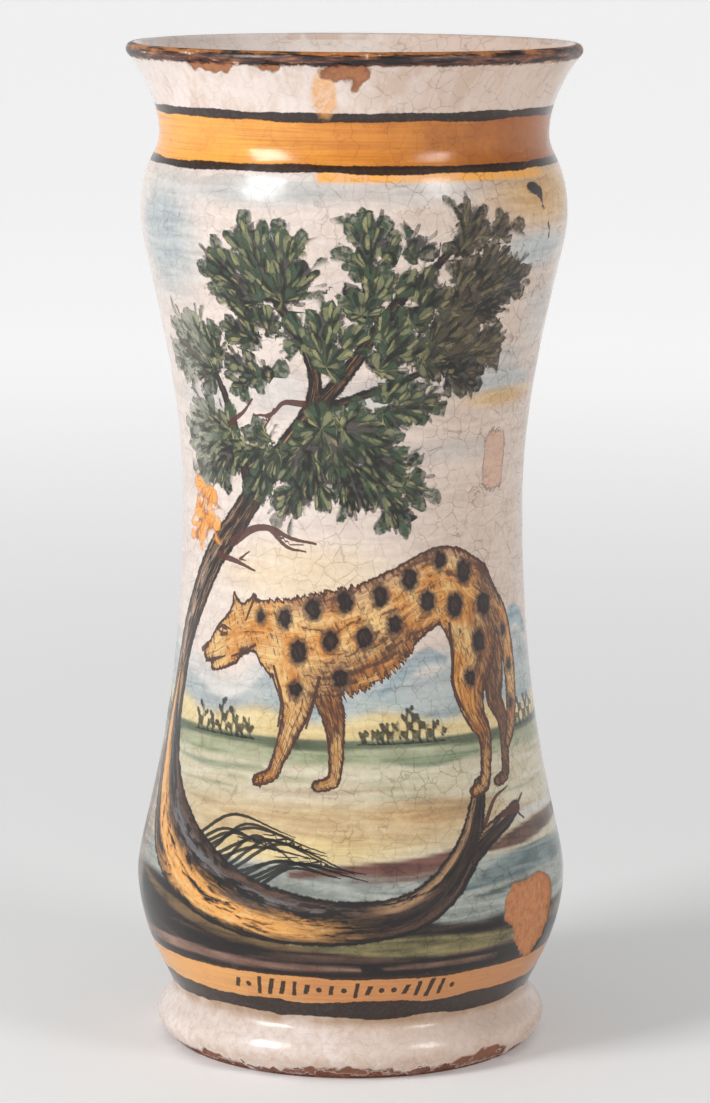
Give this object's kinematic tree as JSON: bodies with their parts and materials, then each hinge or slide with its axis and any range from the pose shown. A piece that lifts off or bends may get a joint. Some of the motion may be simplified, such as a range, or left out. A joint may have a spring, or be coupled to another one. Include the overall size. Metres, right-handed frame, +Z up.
{
  "type": "albarello pharmacy jar",
  "caption": "Tall waisted tin-glazed earthenware pharmacy jar with a flared lip and turned foot, painted with a landscape between ochre and black bands; hollow, open mouth, chipped glaze.",
  "frame": {"origin": "middle of the foot ring's underside, on the surface the jar stands on", "axes": "+Z up along the jar's turning axis, -Y towards the painted front"},
  "size_m": [0.1124, 0.1124, 0.25],
  "materials": {
    "tin_glaze": "glossy crazed tin glaze with painted decoration, worn to bare clay at the edges and flakes"
  },
  "bodies": {
    "root": {"jar": "tin_glaze"}
  },
  "joints": []
}
